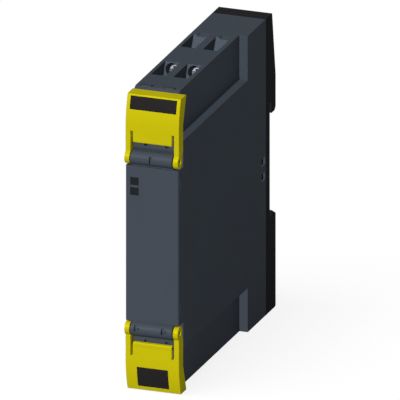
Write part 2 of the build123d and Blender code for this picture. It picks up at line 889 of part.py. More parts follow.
with BuildPart() as input_capacitor:
    with BuildSketch(Plane.YZ.offset(board_face + stand_off)):
        with Locations((depth(capacitor_at[0]), capacitor_at[1])):
            Circle(capacitor_radius)
    extrude(amount=capacitor_length)
    chamfer(input_capacitor.faces().sort_by(Axis.X)[-1].edges(), capacitor_bead)
    lead_pins("capacitor", stand_off)
input_capacitor.part.label = "input_capacitor"
export_step(input_capacitor.part, "parts/input_capacitor.step")

with BuildPart() as filter_capacitor:
    with Locations((board_face + stand_off, depth(filter_at[0]), filter_at[1])):
        Box(*filter_size, align=(Align.MIN, Align.CENTER, Align.CENTER))
    chamfer(filter_capacitor.faces().sort_by(Axis.X)[-1].edges(), filter_edge)
    lead_pins("filter", stand_off)
filter_capacitor.part.label = "filter_capacitor"
export_step(filter_capacitor.part, "parts/filter_capacitor.step")

with BuildPart() as rectifier:
    with Locations((board_face + stand_off, depth(rectifier_at[0]), rectifier_at[1])):
        Box(*rectifier_size, align=(Align.MIN, Align.CENTER, Align.CENTER))
    polarity_edge = rectifier.edges().filter_by(Axis.Y).group_by(Axis.X)[-1].sort_by(Axis.Z)[-1]
    chamfer(polarity_edge, rectifier_corner)
    lead_pins("rectifier", stand_off)
rectifier.part.label = "rectifier"
export_step(rectifier.part, "parts/rectifier.step")

with BuildPart() as varistor:
    with BuildSketch(Plane.XZ.offset(-depth(varistor_at[0]))):
        with Locations((board_face + stand_off + varistor_radius, varistor_at[1])):
            Circle(varistor_radius)
    extrude(amount=varistor_thickness / 2, both=True)
    lead_pins("varistor", stand_off + varistor_radius)
varistor.part.label = "varistor"
export_step(varistor.part, "parts/varistor.step")

for level, place in resistor_at.items():
    with BuildPart() as resistor:
        axis_x = board_face + stand_off + resistor_radius
        with BuildSketch(Plane.XY.offset(place[1])):
            with Locations((axis_x, depth(place[0]))):
                Circle(resistor_radius)
        extrude(amount=resistor_length / 2, both=True)
        with Locations((axis_x, depth(place[0]), place[1])):
            Box(pin_width, pin_width, resistor_pitch + pin_width)
        lead_pins(f"{level}_resistor", stand_off + resistor_radius)
    resistor.part.label = f"{level}_resistor"
    export_step(resistor.part, f"parts/{level}_resistor.step")

# Two signal lamps on the board and the light guides that lead to the windows
for level, lamp_z in lamp_centres.items():
    with BuildPart() as lamp:
        with Locations((board_face, depth(board_front + lamp_gap), lamp_z)):
            Box(*lamp_body, align=(Align.MIN, Align.MIN, Align.CENTER))
    lamp.part.label = f"{level}_lamp"
    export_step(lamp.part, f"parts/{level}_lamp.step")

    with BuildPart() as guide:
        with Locations((lamp_x, depth(lamp_recess), lamp_z)):
            Box(
                lamp_width - 2 * snug,
                board_front - lamp_gap - lamp_recess,
                lamp_height - 2 * snug,
                align=(Align.CENTER, Align.MIN, Align.CENTER),
            )
        with Locations((lamp_x, depth(panel_thickness + snug), lamp_z)):
            Box(
                lamp_width + guide_lip,
                guide_flange,
                lamp_height + guide_lip,
                align=(Align.CENTER, Align.MIN, Align.CENTER),
            )
    guide.part.label = f"{level}_light_guide"
    export_step(guide.part, f"parts/{level}_light_guide.step")


def relay_box(low, high, base, tip, across, mode=Mode.ADD):
    """A box in the relay: low and high along its length, base and tip above the board."""
    with Locations((relay_x + base, relay_y, relay_low + low)):
        Box(
            tip - base,
            across,
            high - low,
            align=(Align.MIN, Align.CENTER, Align.MIN),
            mode=mode,
        )


def relay_disc(low, high, height, radius, mode=Mode.ADD):
    """A round piece whose axis runs along the relay's length."""
    with BuildSketch(Plane.XY.offset(relay_low + low)) as disc:
        with Locations((relay_x + height, relay_y)):
            Circle(radius)
    extrude(disc.sketch, amount=high - low, mode=mode)


with BuildPart() as relay_cover:
    relay_box(0, relay_length, 0, relay_height, relay_width)
    chamfer(relay_cover.edges().filter_by(Axis.X), relay_corner)
    relay_box(
        relay_wall,
        relay_length - relay_wall,
        0,
        relay_height - relay_wall,
        relay_width - 2 * relay_wall,
        mode=Mode.SUBTRACT,
    )
relay_cover.part.label = "relay_cover"
export_step(relay_cover.part, "parts/relay_cover.step")

strip_ends = {
    "closing_contact": spring_at - contact_thickness - contact_stroke - contact_thickness,
    "opening_contact": spring_at + contact_strip + 2 * contact_thickness + contact_touch,
}
with BuildPart() as relay_base:
    relay_box(
        relay_wall + snug,
        relay_length - relay_wall - snug,
        0,
        relay_floor,
        relay_width - 2 * relay_wall - 2 * snug,
    )
    lead_pins("relay", stand_off)
relay_base.part.label = "relay_base"
export_step(relay_base.part, "parts/relay_base.step")

with BuildPart() as coil_bobbin:
    bobbin_start = yoke_start + yoke_thickness + snug
    flange_low = relay_floor + yoke_thickness + 2 * snug
    for start in (bobbin_start, bobbin_end - bobbin_flange):
        relay_box(start, start + bobbin_flange, flange_low, yoke_top + gap, bobbin_width)
    relay_disc(bobbin_start, bobbin_end, core_height, core_radius + snug + bobbin_tube)
    relay_disc(bobbin_start, bobbin_end, core_height, core_radius + snug, mode=Mode.SUBTRACT)
coil_bobbin.part.label = "coil_bobbin"
export_step(coil_bobbin.part, "parts/coil_bobbin.step")

with BuildPart() as coil_winding:
    winding_start = bobbin_start + bobbin_flange + snug
    winding_end = bobbin_end - bobbin_flange - snug
    relay_disc(winding_start, winding_end, core_height, winding_radius)
    inner_winding = core_radius + 2 * snug + bobbin_tube
    relay_disc(winding_start, winding_end, core_height, inner_winding, mode=Mode.SUBTRACT)
coil_winding.part.label = "coil_winding"
export_step(coil_winding.part, "parts/coil_winding.step")

with BuildPart() as coil_core:
    relay_disc(yoke_start - gap, yoke_end - bobbin_flange, core_height, core_radius)
    relay_disc(yoke_end - bobbin_flange, yoke_end, core_height, pole_radius)
coil_core.part.label = "coil_core"
export_step(coil_core.part, "parts/coil_core.step")

with BuildPart() as yoke:
    yoke_low = relay_floor + snug
    relay_box(yoke_start, yoke_start + yoke_thickness, yoke_low, yoke_top, yoke_width)
    relay_box(yoke_start, yoke_end, yoke_low, yoke_low + yoke_thickness, yoke_width)
    relay_disc(
        yoke_start, yoke_start + yoke_thickness, core_height, core_radius + snug, mode=Mode.SUBTRACT
    )
yoke.part.label = "yoke"
export_step(yoke.part, "parts/yoke.step")

with BuildPart() as armature:
    armature_start = yoke_end + air_gap
    armature_end = armature_start + armature_thickness
    pivot_top = pivot_height + pivot_thickness
    relay_box(armature_start, armature_end, pivot_height, armature_tip, armature_width)
    relay_box(yoke_end + pivot_gap, armature_end, pivot_height, pivot_top, yoke_width)
armature.part.label = "armature"
export_step(armature.part, "parts/armature.step")

with BuildPart() as contact_card:
    card_low = armature_tip - card_drop
    relay_box(*card_ends, card_low, card_low + card_size[0], card_size[1])
    for slot_low, slot_high in (
        (armature_start, armature_end),
        (spring_at, spring_at + contact_strip),
    ):
        relay_box(
            slot_low - card_play,
            slot_high + card_play,
            card_low,
            card_low + card_slot,
            2 * card_size[1],
            mode=Mode.SUBTRACT,
        )
contact_card.part.label = "contact_card"
export_step(contact_card.part, "parts/contact_card.step")

with BuildPart() as contact_spring:
    relay_box(spring_at, spring_at + contact_strip, relay_floor + snug, armature_tip, contact_width)
    relay_disc(
        spring_at - contact_thickness,
        spring_at + contact_strip + contact_thickness,
        contact_height,
        contact_radius,
    )
contact_spring.part.label = "contact_spring"
export_step(contact_spring.part, "parts/contact_spring.step")

for name, end in strip_ends.items():
    inward = 1 if end < spring_at else -1
    with BuildPart() as fixed_contact:
        strip = sorted((end, end - inward * contact_strip))
        relay_box(*strip, relay_floor, contact_height + contact_radius + snug, contact_width)
        rivet = sorted((end, end + inward * contact_thickness))
        relay_disc(*rivet, contact_height, contact_radius)
    fixed_contact.part.label = name
    export_step(fixed_contact.part, f"parts/{name}.step")
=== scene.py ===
import json
import math

import bpy
import numpy as np
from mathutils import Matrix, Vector


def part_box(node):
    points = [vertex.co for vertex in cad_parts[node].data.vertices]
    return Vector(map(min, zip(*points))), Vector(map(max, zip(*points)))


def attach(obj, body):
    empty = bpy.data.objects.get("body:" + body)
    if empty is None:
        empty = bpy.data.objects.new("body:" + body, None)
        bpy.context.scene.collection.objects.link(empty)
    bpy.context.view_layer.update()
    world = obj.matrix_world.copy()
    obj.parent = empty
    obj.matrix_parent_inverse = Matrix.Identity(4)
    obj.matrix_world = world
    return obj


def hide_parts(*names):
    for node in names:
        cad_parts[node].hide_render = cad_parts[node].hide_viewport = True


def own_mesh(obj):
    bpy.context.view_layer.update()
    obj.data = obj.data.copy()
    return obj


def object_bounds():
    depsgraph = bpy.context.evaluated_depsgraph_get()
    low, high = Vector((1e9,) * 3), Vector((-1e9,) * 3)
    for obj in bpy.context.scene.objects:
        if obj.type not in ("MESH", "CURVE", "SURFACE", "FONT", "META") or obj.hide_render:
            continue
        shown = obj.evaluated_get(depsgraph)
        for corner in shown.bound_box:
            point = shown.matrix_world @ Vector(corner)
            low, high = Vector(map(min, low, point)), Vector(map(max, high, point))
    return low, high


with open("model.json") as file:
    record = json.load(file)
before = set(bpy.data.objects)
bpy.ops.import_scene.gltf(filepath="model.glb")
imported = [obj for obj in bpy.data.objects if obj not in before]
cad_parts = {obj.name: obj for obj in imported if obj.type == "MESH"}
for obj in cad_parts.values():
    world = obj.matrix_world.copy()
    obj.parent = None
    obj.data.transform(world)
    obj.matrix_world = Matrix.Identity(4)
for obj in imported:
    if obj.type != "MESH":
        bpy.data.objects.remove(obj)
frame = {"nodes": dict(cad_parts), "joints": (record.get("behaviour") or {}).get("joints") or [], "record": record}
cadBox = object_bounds()
print("frame loaded:", len(frame["nodes"]), "nodes")

mm = 0.001


# camera and stage
view = {
    "azimuth": 20.0,  # degrees to the right of the front
    "elevation": 20.0,
    "widthInView": 0.1232,  # metres across the picture, parallel projection
    "target": (0.0, -38.8 * mm, 0.25 * mm),
    "distance": 0.6,
}


def viewDirection(azimuth, elevation):
    # unit vector from the object to a viewer, from its two angles
    a, e = math.radians(azimuth), math.radians(elevation)
    return Vector((math.sin(a) * math.cos(e), -math.cos(a) * math.cos(e), math.sin(e)))


def makeCamera():
    data = bpy.data.cameras.new("camera")
    data.type = "ORTHO"
    data.ortho_scale = view["widthInView"]
    camera = bpy.data.objects.new("camera", data)
    bpy.context.scene.collection.objects.link(camera)
    back = viewDirection(view["azimuth"], view["elevation"])
    camera.location = Vector(view["target"]) + back * view["distance"]
    camera.rotation_mode = "QUATERNION"
    camera.rotation_quaternion = (-back).to_track_quat("-Z", "Y")
    bpy.context.scene.camera = camera


makeCamera()
print("camera made")


# materials
# painted shade: settings for darkening the plastics' tone where walls close in around a point
paintedCreviceShade = {
    "reach": 1.3,  # mm, how far a point looks for walls that shade it
    "dark": 0.08,  # share of open sky at which the tone is darkest
    "clear": 0.46,  # and from which it is itself
    "least": 0.15,  # share of its own tone that it keeps
}
waveTurn = 6.28  # a wave texture repeats after this many units at scale 1
noiseSpan = (0.3, 0.7)  # most of a noise texture's values lie between these
plasticFinish = {"glossSpread": (-0.05, 0.07), "grainDepth": 0.05}  # the depth in mm
metalFinish = {
    "stretch": 12.0,  # how much longer a scratch is than it is wide
    "glossSpread": (-0.08, 0.1),
    "edge": 0.08,  # mm
    "bump": 0.25,
    "scratchDepth": 0.02,  # mm
}


def linear(hexCode, alpha=1.0):
    # sRGB hex to the linear colour that Blender's sockets want
    parts = [int(hexCode[i:i + 2], 16) / 255 for i in (0, 2, 4)]
    return [p / 12.92 if p <= 0.04045 else ((p + 0.055) / 1.055) ** 2.4 for p in parts] + [alpha]


def addNode(tree, kind, inputs=None, **settings):
    # one node with its settings; an input is a plain value or another node's output
    node = tree.nodes.new(kind)
    for name, value in settings.items():
        setattr(node, name, value)
    for socket, value in (inputs or {}).items():
        if isinstance(value, bpy.types.NodeSocket):
            tree.links.new(value, node.inputs[socket])
        else:
            node.inputs[socket].default_value = value
    return node


def startMaterial(name):
    # an empty material with object coordinates in metres
    material = bpy.data.materials.new(name)
    material.use_nodes = True
    tree = material.node_tree
    tree.nodes.clear()
    place = addNode(tree, "ShaderNodeTexCoord")
    return material, tree, place.outputs["Object"]


def endMaterial(tree, shader):
    addNode(tree, "ShaderNodeOutputMaterial", {"Surface": shader})


def mouldedPlastic(name, look):
    # Injection-moulded plastic: a spark-eroded grain, soft tone drift from the flow and edges rounded by
    # the tool, plus painted shade in slots and pockets. grain height = fine noise at the grain size;
    # tone = two hex colours mixed by a broad noise, darkened as painted shade where little sky is seen
    material, tree, place = startMaterial(name)
    drift = addNode(
        tree, "ShaderNodeTexNoise", {"Vector": place, "Scale": 1 / (look["drift"] * mm), "Detail": 3.0},
    )
    tone = addNode(
        tree, "ShaderNodeMixRGB",
        {"Fac": drift.outputs["Fac"], "Color1": linear(look["dark"]), "Color2": linear(look["light"])},
    )
    grain = addNode(
        tree, "ShaderNodeTexNoise",
        {"Vector": place, "Scale": 1 / (look["grain"] * mm), "Detail": 2.0, "Roughness": 0.6},
    )
    spread = plasticFinish["glossSpread"]
    gloss = addNode(
        tree, "ShaderNodeMapRange",
        {
            "Value": grain.outputs["Fac"], "From Min": noiseSpan[0], "From Max": noiseSpan[1],
            "To Min": look["rough"] + spread[0], "To Max": look["rough"] + spread[1],
        },
    )
    # painted shade: in narrow slots and pockets, where less than about half of the sky is seen, the tone
    # is darkened toward a shade colour
    sky = addNode(tree, "ShaderNodeAmbientOcclusion", {"Distance": paintedCreviceShade["reach"] * mm}, samples=12)
    depth = addNode(
        tree, "ShaderNodeMapRange",
        {
            "Value": sky.outputs["AO"], "From Min": paintedCreviceShade["dark"], "From Max": paintedCreviceShade["clear"],
            "To Min": paintedCreviceShade["least"],
        },
    )
    tone = addNode(
        tree, "ShaderNodeMixRGB",
        {
            "Fac": depth.outputs["Result"], "Color1": linear(look["paintedCreviceShade"]),
            "Color2": tone.outputs["Color"],
        },
    )
    edge = addNode(tree, "ShaderNodeBevel", {"Radius": look["edge"] * mm}, samples=4)
    bump = addNode(
        tree, "ShaderNodeBump",
        {
            "Height": grain.outputs["Fac"], "Strength": look["bump"],
            "Distance": plasticFinish["grainDepth"] * mm, "Normal": edge.outputs["Normal"],
        },
    )
    shader = addNode(
        tree, "ShaderNodeBsdfPrincipled",
        {
            "Base Color": tone.outputs["Color"], "Roughness": gloss.outputs["Result"],
            "Normal": bump.outputs["Normal"], "IOR": look["ior"],
            "Specular IOR Level": look["specular"], "Metallic": look.get("sheen", 0.0),
        },
    )
    endMaterial(tree, shader.outputs["BSDF"])
    return material


def platedMetal(name, look):
    # Zinc or tin plate on a stamped or rolled blank: fine scratches along one way and cloudy spangle.
    # scratches = noise stretched 12 to 1 along Z; cloud = noise at the spangle size
    material, tree, place = startMaterial(name)
    finish = metalFinish
    spread = finish["glossSpread"]
    squeeze = (finish["stretch"], finish["stretch"], 1.0)
    stretch = addNode(tree, "ShaderNodeMapping", {"Vector": place, "Scale": squeeze})
    scratch = addNode(
        tree, "ShaderNodeTexNoise",
        {"Vector": stretch.outputs["Vector"], "Scale": 1 / (look["scratch"] * mm), "Detail": 3.0},
    )
    cloud = addNode(
        tree, "ShaderNodeTexNoise", {"Vector": place, "Scale": 1 / (look["cloud"] * mm), "Detail": 4.0},
    )
    tone = addNode(
        tree, "ShaderNodeMixRGB",
        {"Fac": cloud.outputs["Fac"], "Color1": linear(look["dark"]), "Color2": linear(look["light"])},
    )
    gloss = addNode(
        tree, "ShaderNodeMapRange",
        {
            "Value": scratch.outputs["Fac"], "From Min": noiseSpan[0], "From Max": noiseSpan[1],
            "To Min": look["rough"] + spread[0], "To Max": look["rough"] + spread[1],
        },
    )
    edge = addNode(tree, "ShaderNodeBevel", {"Radius": finish["edge"] * mm}, samples=4)
    bump = addNode(
        tree, "ShaderNodeBump",
        {
            "Height": scratch.outputs["Fac"], "Strength": finish["bump"],
            "Distance": finish["scratchDepth"] * mm, "Normal": edge.outputs["Normal"],
        },
    )
    shader = addNode(
        tree, "ShaderNodeBsdfPrincipled",
        {
            "Base Color": tone.outputs["Color"], "Metallic": 1.0, "Roughness": gloss.outputs["Result"],
            "Normal": bump.outputs["Normal"],
        },
    )
    endMaterial(tree, shader.outputs["BSDF"])
    return material


def laminate(name, look):
    # Epoxy glass laminate under green solder resist: the glass cloth's weave shows faintly through the
    # coat. weave = two crossed wave textures at the yarn pitch
    material, tree, place = startMaterial(name)
    warp = addNode(
        tree, "ShaderNodeTexWave",
        {"Vector": place, "Scale": 1 / (look["weave"] * mm * waveTurn), "Distortion": look["waver"]},
        bands_direction="Y",
    )
    weft = addNode(
        tree, "ShaderNodeTexWave",
        {"Vector": place, "Scale": 1 / (look["weave"] * mm * waveTurn), "Distortion": look["waver"]},
        bands_direction="Z",
    )
    cross = addNode(
        tree, "ShaderNodeMath", {0: warp.outputs["Fac"], 1: weft.outputs["Fac"]}, operation="MULTIPLY",
    )
    tone = addNode(
        tree, "ShaderNodeMixRGB",
        {"Fac": cross.outputs["Value"], "Color1": linear(look["dark"]), "Color2": linear(look["light"])},
    )
    shader = addNode(
        tree, "ShaderNodeBsdfPrincipled",
        {
            "Base Color": tone.outputs["Color"], "Roughness": look["rough"], "IOR": look["ior"],
            "Coat Weight": look["coat"], "Coat Roughness": look["coatRough"],
        },
    )
    endMaterial(tree, shader.outputs["BSDF"])
    return material


def woundWire(name, look):
    # Enamelled copper wire, wound turn beside turn: one ridge for each turn, drawn twice as coarse so
    # that it shows. ridges = a wave along Z at the wire pitch
    material, tree, place = startMaterial(name)
    turns = addNode(
        tree, "ShaderNodeTexWave",
        {"Vector": place, "Scale": 1 / (look["pitch"] * mm * waveTurn)},
        bands_direction="Z",
    )
    tone = addNode(
        tree, "ShaderNodeMixRGB",
        {"Fac": turns.outputs["Fac"], "Color1": linear(look["dark"]), "Color2": linear(look["light"])},
    )
    bump = addNode(
        tree, "ShaderNodeBump",
        {"Height": turns.outputs["Fac"], "Strength": look["bump"], "Distance": look["ridge"] * mm},
    )
    shader = addNode(
        tree, "ShaderNodeBsdfPrincipled",
        {
            "Base Color": tone.outputs["Color"], "Metallic": look["metal"], "Roughness": look["rough"],
            "Normal": bump.outputs["Normal"], "Coat Weight": look["coat"],
        },
    )
    endMaterial(tree, shader.outputs["BSDF"])
    return material


# the first colour of each look is the painted shade that its tone goes toward in slots and pockets
plasticLooks = {
    # glass-filled polyamide, dark blue-grey, fine grain that kills the gloss
    "polyamideGrey": {
        "paintedCreviceShade": "0E1114", "dark": "424952", "light": "474E57", "drift": 14, "grain": 0.35, "rough": 0.4,
        "edge": 0.25, "bump": 0.08, "ior": 1.53, "specular": 0.0, "sheen": 0.04,
    },
    # unfilled polyamide in a warning yellow, smoother and a little waxy
    "polyamideYellow": {
        "paintedCreviceShade": "3A3204", "dark": "BFB50C", "light": "C7BC10", "drift": 9, "grain": 0.3, "rough": 0.42,
        "edge": 0.2, "bump": 0.05, "ior": 1.53, "specular": 0.0, "sheen": 0.04,
    },
    # thin dark polycarbonate plate
    "polycarbonateDark": {
        "paintedCreviceShade": "121111", "dark": "262324", "light": "2B2828", "drift": 6, "grain": 0.25, "rough": 0.5,
        "edge": 0.08, "bump": 0.04, "ior": 1.58, "specular": 0.0, "sheen": 0.04,
    },
    # black polyamide of the rail base, deep and matte
    "polyamideBlack": {
        "paintedCreviceShade": "0A0A0B", "dark": "242426", "light": "29292B", "drift": 12, "grain": 0.35, "rough": 0.5,
        "edge": 0.25, "bump": 0.08, "ior": 1.53, "specular": 0.0, "sheen": 0.04,
    },
    # smoked acrylic light guide, polished
    "acrylicSmoked": {
        "paintedCreviceShade": "0C100E", "dark": "1C2320", "light": "22282A", "drift": 3, "grain": 0.5, "rough": 0.18,
        "edge": 0.08, "bump": 0.0, "ior": 1.49, "specular": 0.04,
    },
    # white polyphthalamide of a lamp body
    "polyphthalamideWhite": {
        "paintedCreviceShade": "8A867A", "dark": "D9D5C6", "light": "E6E3D8", "drift": 2, "grain": 0.2, "rough": 0.4,
        "edge": 0.08, "bump": 0.05, "ior": 1.6, "specular": 0.4,
    },
    # black epoxy and polyester housings of the small components
    "epoxyMoulded": {
        "paintedCreviceShade": "121215", "dark": "2B2C31", "light": "34353B", "drift": 4, "grain": 0.2, "rough": 0.5,
        "edge": 0.1, "bump": 0.1, "ior": 1.55, "specular": 0.4,
    },
    # blue shrink sleeve and relay cover, smooth
    "sleeveBlue": {
        "paintedCreviceShade": "101A33", "dark": "2A3F72", "light": "34508A", "drift": 5, "grain": 0.3, "rough": 0.3,
        "edge": 0.12, "bump": 0.03, "ior": 1.54, "specular": 0.5,
    },
}
metalLooks = {
    # zinc-plated steel: cool grey, cloudy
    "steelZincPlated": {"dark": "9EA3A8", "light": "C6CACE", "scratch": 0.8, "cloud": 1.6, "rough": 0.32},
    # the same steel under a grey passivation, as on the terminal screws; its tone is also made darker
    # as painted shade for the heads deep in their bores
    "steelPassivatedShaded": {"dark": "71757B", "light": "84888E", "scratch": 0.5, "cloud": 1.2, "rough": 0.6},
    # tinned brass bars: warm pale grey
    "brassTinned": {"dark": "B9B39C", "light": "D6D1BE", "scratch": 0.6, "cloud": 2.2, "rough": 0.28},
    # rolled copper alloy springs
    "copperRolled": {"dark": "A9704A", "light": "C98E63", "scratch": 0.5, "cloud": 1.5, "rough": 0.3},
}
materials = {name: mouldedPlastic(name, look) for name, look in plasticLooks.items()}
materials.update({name: platedMetal(name, look) for name, look in metalLooks.items()})
boardLook = {
    "dark": "0C3B22", "light": "14502F", "weave": 0.5, "waver": 0.4, "rough": 0.35, "ior": 1.5,
    "coat": 0.5, "coatRough": 0.15,
}
wireLook = {
    "dark": "6E3A1E", "light": "B06A3A", "pitch": 0.3, "rough": 0.35, "bump": 0.8, "ridge": 0.08,
    "metal": 0.7, "coat": 0.6,
}
materials["laminateGreen"] = laminate("laminateGreen", boardLook)
materials["copperEnamelled"] = woundWire("copperEnamelled", wireLook)

slotMaterials = {
    "grey_housing": "polyamideGrey",
    "yellow_flap": "polyamideYellow",
    "dark_plate": "polycarbonateDark",
    "black_base": "polyamideBlack",
    "zinc_steel": "steelZincPlated",
    "clear_guide": "acrylicSmoked",
    "lamp_body": "polyphthalamideWhite",
    "board": "laminateGreen",
    "component_plastic": "epoxyMoulded",
    "component_sleeve": "sleeveBlue",
    "copper": "copperRolled",
    "tinned_brass": "brassTinned",
}


def paint(piece, name):
    piece.data.materials.clear()
    piece.data.materials.append(materials[name])


for part in frame["record"]["subparts"]:
    paint(frame["nodes"][part["node"]], slotMaterials[part["material_slot"]])
paint(frame["nodes"]["coil_winding"], "copperEnamelled")
print("materials given to", len(frame["nodes"]), "nodes")


# surfaces worked out on grids
def gridMesh(name, points, smooth=True):
    # a closed mesh from an array of points, rings by angle: quads between neighbours, and a fan from the
    # first and the last ring to its middle
    rings, around, _ = points.shape
    ends = np.stack([points[0].mean(0), points[-1].mean(0)])
    vertices = np.vstack([points.reshape(-1, 3), ends])
    ring = np.arange(rings - 1)[:, None] * around
    step = np.arange(around)
    after = (step + 1) % around
    quads = np.stack([ring + step, ring + after, ring + around + after, ring + around + step], -1)
    first, last, start = rings * around, rings * around + 1, (rings - 1) * around
    startFan = np.stack([np.full(around, first), after, step], -1)
    endFan = np.stack([np.full(around, last), start + step, start + after], -1)
    mesh = bpy.data.meshes.new(name)
    faces = quads.reshape(-1, 4).tolist() + startFan.tolist() + endFan.tolist()
    mesh.from_pydata(vertices.tolist(), [], faces)
    mesh.validate()
    mesh.polygons.foreach_set("use_smooth", np.full(len(mesh.polygons), smooth))
    mesh.update()
    piece = bpy.data.objects.new(name, mesh)
    bpy.context.scene.collection.objects.link(piece)
    return piece


screw = {
    "headSunk": 3.0,
    "headRadius": 1.75,
    "headHeight": 2.0,
    "shankRadius": 1.25,
    "length": 15.85,
    "pitch": 0.45,
    "threadDepth": 0.26,
    "slotWidth": 0.62,
    "crossWidth": 0.55,
    "crossReach": (0.95, 1.1),  # where the cross starts and has finished fading out
    "cutSoftness": 0.05,  # half the width of the drive's rounded edges
    "driveDepth": 0.9,
    "driveTurn": -10.0,  # degrees from X to the slot, about the way in
    "rim": 0.25,  # radius of the head's rounded rim
    "dome": 0.12,
    "neck": 0.3,  # from the head to the first thread
    "fillet": 0.15,  # under the head
    "undercut": 0.1,
    "runIn": 0.6,  # over which the thread grows and fades
    "fadeOut": (1.0, 0.4),  # from the shank's end, where the thread starts to fade and has gone
    "tip": 0.15,  # how much thinner the end is than the thread's root
    "around": 120,
    "topRings": 26,
    "rimRings": 6,
    "ringsPerPitch": 8,
}


def smoothStep(value, low, high):
    t = np.clip((value - low) / (high - low), 0, 1)
    return t * t * (3 - 2 * t)


def makeScrew(name, origin, inward):
    # Terminal screw: a revolved profile whose radius winds in and out with the thread, and whose top is
    # sunk along a slot and a cross. Each point = origin + axis * along + radius * (cos, sin)
    s = screw
    soft = s["cutSoftness"]
    angle = np.linspace(0, 2 * np.pi, s["around"], endpoint=False)
    fromSlot = angle - math.radians(s["driveTurn"])
    # top of the head: rings that grow outwards, lowered where the slot and the cross run
    topRadii = np.linspace(0.02, 1.0, s["topRings"]) * (s["headRadius"] - s["rim"])
    x, y = topRadii[:, None] * np.cos(fromSlot), topRadii[:, None] * np.sin(fromSlot)
    slotCut = 1 - smoothStep(np.abs(y), s["slotWidth"] / 2 - soft, s["slotWidth"] / 2 + soft)
    crossCut = 1 - smoothStep(np.abs(x), s["crossWidth"] / 2 - soft, s["crossWidth"] / 2 + soft)
    crossCut = crossCut * (1 - smoothStep(np.abs(y), *s["crossReach"]))
    dome = s["dome"] * (topRadii[:, None] / s["headRadius"]) ** 2
    topAlong = s["headSunk"] + dome + s["driveDepth"] * np.maximum(slotCut, crossCut)
    # sides: rounded rim, down to the neck, then the thread with a run-in at both ends
    rim = np.linspace(0, np.pi / 2, s["rimRings"])[1:]
    rimRadius = s["headRadius"] - s["rim"] + s["rim"] * np.sin(rim)
    rimAlong = s["headSunk"] + s["dome"] + s["rim"] * (1 - np.cos(rim))
    headEnd = s["headSunk"] + s["headHeight"]
    neckRadius = [s["headRadius"], s["shankRadius"] + s["fillet"], s["shankRadius"] - s["undercut"]]
    sideRadius = np.concatenate([rimRadius, neckRadius])
    sideAlong = np.concatenate([rimAlong, [headEnd - soft, headEnd, headEnd + s["undercut"]]])
    threadStart, threadEnd = headEnd + s["neck"], s["length"] - s["neck"]
    threadAlong = np.arange(threadStart, threadEnd, s["pitch"] / s["ringsPerPitch"])
    turn = (threadAlong[:, None] / s["pitch"] - angle / (2 * np.pi)) % 1
    ridge = 1 - np.abs(2 * turn - 1)
    grow = smoothStep(threadAlong, threadStart, threadStart + s["runIn"])
    fadeFrom, fadeTo = s["fadeOut"]
    fade = 1 - smoothStep(threadAlong, s["length"] - fadeFrom, s["length"] - fadeTo)
    threadRadius = s["shankRadius"] - s["threadDepth"] * (1 - ridge * (grow * fade)[:, None])
    radius = np.concatenate([
        np.repeat(topRadii[:, None], s["around"], 1),
        np.repeat(sideRadius[:, None], s["around"], 1),
        threadRadius,
        np.full((1, s["around"]), s["shankRadius"] - s["threadDepth"] - s["tip"]),
    ])
    along = np.concatenate([
        topAlong,
        np.repeat(sideAlong[:, None], s["around"], 1),
        np.repeat(threadAlong[:, None], s["around"], 1),
        np.full((1, s["around"]), s["length"]),
    ])
    axis = np.array(inward)
    right = np.array([1.0, 0.0, 0.0])
    up = np.cross(axis, right)
    around = np.cos(angle)[None, :, None] * right + np.sin(angle)[None, :, None] * up
    points = np.array(origin) + mm * (along[..., None] * axis + radius[..., None] * around)
    return gridMesh(name, points)


for joint in frame["joints"]:
    if joint["name"].endswith("_screw_turn"):
        body = joint["child"]
        piece = makeScrew(body + "_threaded", joint["pos_m"], joint["axis"])
        # darker steel: partly real passivation, partly painted shade for the heads in their bores
        paint(piece, "steelPassivatedShaded")
        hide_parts(body)
        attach(piece, body)
print("screws made")


sliderSpring = {
    "strip": 0.3,  # thickness of the flat strip
    "bends": 4,
    "bendRadius": 0.45,
    "arcSteps": 7,
    "pressedShare": 0.68,  # of its length when the slider is pushed up
}


def roundedPath(corners, radius, steps):
    # right-angled corners become quarter circles: centre - b * radius * cos(t) - a * radius * sin(t),
    # where a and b are the unit vectors from the corner to its two neighbours
    before, corner, after = corners[:-2], corners[1:-1], corners[2:]
    a = (before - corner) / np.linalg.norm(before - corner, axis=1)[:, None]
    b = (after - corner) / np.linalg.norm(after - corner, axis=1)[:, None]
    centre = corner + (a + b) * radius
    t = np.linspace(0, np.pi / 2, steps)[None, :, None]
    arcs = centre[:, None] - b[:, None] * radius * np.cos(t) - a[:, None] * radius * np.sin(t)
    return np.vstack([corners[:1], arcs.reshape(-1, 2), corners[-1:]])


def makeSliderSpring(name, lowest, highest):
    # meander of flat strip between two corners of a box: a rectangular section carried along the rounded
    # path
    s = sliderSpring
    strip = s["strip"] * mm
    reach = (highest.x - lowest.x - strip) / 2
    middleX, middleY = (highest.x + lowest.x) / 2, (highest.y + lowest.y) / 2
    low, high = lowest.z + strip / 2, highest.z - strip / 2
    step = (high - low) / s["bends"]
    corners = [(middleX, low)]
    for bend in range(s["bends"]):
        x = middleX + reach * (1 if bend % 2 == 0 else -1)
        corners += [(x, low + bend * step), (x, low + (bend + 1) * step)]
    corners.append((middleX, high))
    path = roundedPath(np.array(corners), s["bendRadius"] * mm, s["arcSteps"])
    along = np.gradient(path, axis=0)
    along /= np.linalg.norm(along, axis=1)[:, None]
    across = np.stack([-along[:, 1], along[:, 0]], -1) * strip / 2
    half = (highest.y - lowest.y) / 2
    ring = [(1, half), (1, -half), (-1, -half), (-1, half)]
    side, y = np.array(ring).T
    xz = path[:, None] + side[None, :, None] * across[:, None]
    points = np.stack([xz[..., 0], np.tile(middleY + y, (len(path), 1)), xz[..., 1]], -1)
    return gridMesh(name, points, smooth=False)


